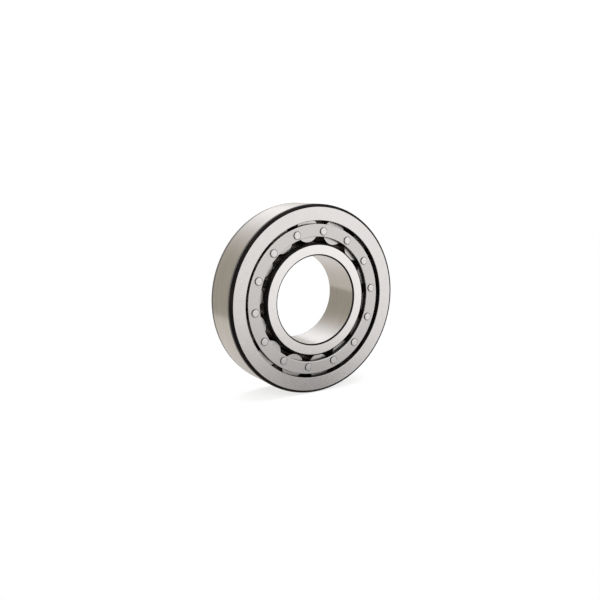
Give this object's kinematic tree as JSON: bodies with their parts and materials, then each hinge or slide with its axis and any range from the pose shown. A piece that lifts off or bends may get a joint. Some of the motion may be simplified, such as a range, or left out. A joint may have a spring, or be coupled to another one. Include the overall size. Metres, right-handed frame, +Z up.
{
  "type": "cylindrical roller bearing",
  "caption": "Single-row cylindrical roller bearing: ribbed outer ring, plain inner ring, and steel rollers in a riveted two-piece steel cage.",
  "frame": {"origin": "centre of the bearing, on its axis, half way between the side faces", "axes": "+Y along the bearing's axis, away from the cage's cover ring, which is at the front; +Z up and +X to the right as seen from the front"},
  "size_m": [0.16, 0.037, 0.16],
  "materials": {
    "ring_steel": "ground bearing steel, fine lathe-like grain round the axis, satin",
    "roller_steel": "finely ground bearing steel, bright",
    "cage_steel": "machined steel, fine turning marks, semi-matt",
    "rivet_steel": "upset steel rivet, semi-bright"
  },
  "bodies": {
    "outer_ring": {"outer_ring": "ring_steel"},
    "inner_ring": {"inner_ring": "ring_steel"},
    "cage": {"cage_comb": "cage_steel", "cage_cover_ring": "cage_steel", "rivet_01": "rivet_steel", "rivet_02": "rivet_steel", "rivet_03": "rivet_steel", "rivet_04": "rivet_steel", "rivet_05": "rivet_steel", "rivet_06": "rivet_steel", "rivet_07": "rivet_steel", "rivet_08": "rivet_steel", "rivet_09": "rivet_steel", "rivet_10": "rivet_steel", "rivet_11": "rivet_steel", "rivet_12": "rivet_steel", "rivet_13": "rivet_steel", "rivet_14": "rivet_steel"},
    "roller_01": {"roller_01": "roller_steel"},
    "roller_02": {"roller_02": "roller_steel"},
    "roller_03": {"roller_03": "roller_steel"},
    "roller_04": {"roller_04": "roller_steel"},
    "roller_05": {"roller_05": "roller_steel"},
    "roller_06": {"roller_06": "roller_steel"},
    "roller_07": {"roller_07": "roller_steel"},
    "roller_08": {"roller_08": "roller_steel"},
    "roller_09": {"roller_09": "roller_steel"},
    "roller_10": {"roller_10": "roller_steel"},
    "roller_11": {"roller_11": "roller_steel"},
    "roller_12": {"roller_12": "roller_steel"},
    "roller_13": {"roller_13": "roller_steel"},
    "roller_14": {"roller_14": "roller_steel"}
  },
  "joints": [
    {"name": "inner_ring_spin", "type": "hinge", "parent": "outer_ring", "child": "inner_ring", "pos_m": [0, 0, 0], "axis": [0, 1, 0], "continuous": true},
    {"name": "cage_spin", "type": "hinge", "parent": "outer_ring", "child": "cage", "pos_m": [0, 0, 0], "axis": [0, 1, 0], "continuous": true},
    {"name": "roller_01_spin", "type": "hinge", "parent": "cage", "child": "roller_01", "pos_m": [0.05576, 0, 0.01861], "axis": [0, 1, 0], "continuous": true},
    {"name": "roller_02_spin", "type": "hinge", "parent": "cage", "child": "roller_02", "pos_m": [0.04216, 0, 0.04096], "axis": [0, 1, 0], "continuous": true},
    {"name": "roller_03_spin", "type": "hinge", "parent": "cage", "child": "roller_03", "pos_m": [0.02021, 0, 0.05519], "axis": [0, 1, 0], "continuous": true},
    {"name": "roller_04_spin", "type": "hinge", "parent": "cage", "child": "roller_04", "pos_m": [-0.00574, 0, 0.0585], "axis": [0, 1, 0], "continuous": true},
    {"name": "roller_05_spin", "type": "hinge", "parent": "cage", "child": "roller_05", "pos_m": [-0.03055, 0, 0.05022], "axis": [0, 1, 0], "continuous": true},
    {"name": "roller_06_spin", "type": "hinge", "parent": "cage", "child": "roller_06", "pos_m": [-0.04931, 0, 0.03199], "axis": [0, 1, 0], "continuous": true},
    {"name": "roller_07_spin", "type": "hinge", "parent": "cage", "child": "roller_07", "pos_m": [-0.05831, 0, 0.00743], "axis": [0, 1, 0], "continuous": true},
    {"name": "roller_08_spin", "type": "hinge", "parent": "cage", "child": "roller_08", "pos_m": [-0.05576, 0, -0.01861], "axis": [0, 1, 0], "continuous": true},
    {"name": "roller_09_spin", "type": "hinge", "parent": "cage", "child": "roller_09", "pos_m": [-0.04216, 0, -0.04096], "axis": [0, 1, 0], "continuous": true},
    {"name": "roller_10_spin", "type": "hinge", "parent": "cage", "child": "roller_10", "pos_m": [-0.02021, 0, -0.05519], "axis": [0, 1, 0], "continuous": true},
    {"name": "roller_11_spin", "type": "hinge", "parent": "cage", "child": "roller_11", "pos_m": [0.00574, 0, -0.0585], "axis": [0, 1, 0], "continuous": true},
    {"name": "roller_12_spin", "type": "hinge", "parent": "cage", "child": "roller_12", "pos_m": [0.03055, 0, -0.05022], "axis": [0, 1, 0], "continuous": true},
    {"name": "roller_13_spin", "type": "hinge", "parent": "cage", "child": "roller_13", "pos_m": [0.04931, 0, -0.03199], "axis": [0, 1, 0], "continuous": true},
    {"name": "roller_14_spin", "type": "hinge", "parent": "cage", "child": "roller_14", "pos_m": [0.05831, 0, -0.00743], "axis": [0, 1, 0], "continuous": true}
  ],
  "couplings": [
    {"joint": "cage_spin", "follows": "inner_ring_spin", "ratio": 0.40618},
    {"joint": "roller_01_spin", "follows": "inner_ring_spin", "ratio": -2.5777},
    {"joint": "roller_02_spin", "follows": "inner_ring_spin", "ratio": -2.5777},
    {"joint": "roller_03_spin", "follows": "inner_ring_spin", "ratio": -2.5777},
    {"joint": "roller_04_spin", "follows": "inner_ring_spin", "ratio": -2.5777},
    {"joint": "roller_05_spin", "follows": "inner_ring_spin", "ratio": -2.5777},
    {"joint": "roller_06_spin", "follows": "inner_ring_spin", "ratio": -2.5777},
    {"joint": "roller_07_spin", "follows": "inner_ring_spin", "ratio": -2.5777},
    {"joint": "roller_08_spin", "follows": "inner_ring_spin", "ratio": -2.5777},
    {"joint": "roller_09_spin", "follows": "inner_ring_spin", "ratio": -2.5777},
    {"joint": "roller_10_spin", "follows": "inner_ring_spin", "ratio": -2.5777},
    {"joint": "roller_11_spin", "follows": "inner_ring_spin", "ratio": -2.5777},
    {"joint": "roller_12_spin", "follows": "inner_ring_spin", "ratio": -2.5777},
    {"joint": "roller_13_spin", "follows": "inner_ring_spin", "ratio": -2.5777},
    {"joint": "roller_14_spin", "follows": "inner_ring_spin", "ratio": -2.5777}
  ]
}
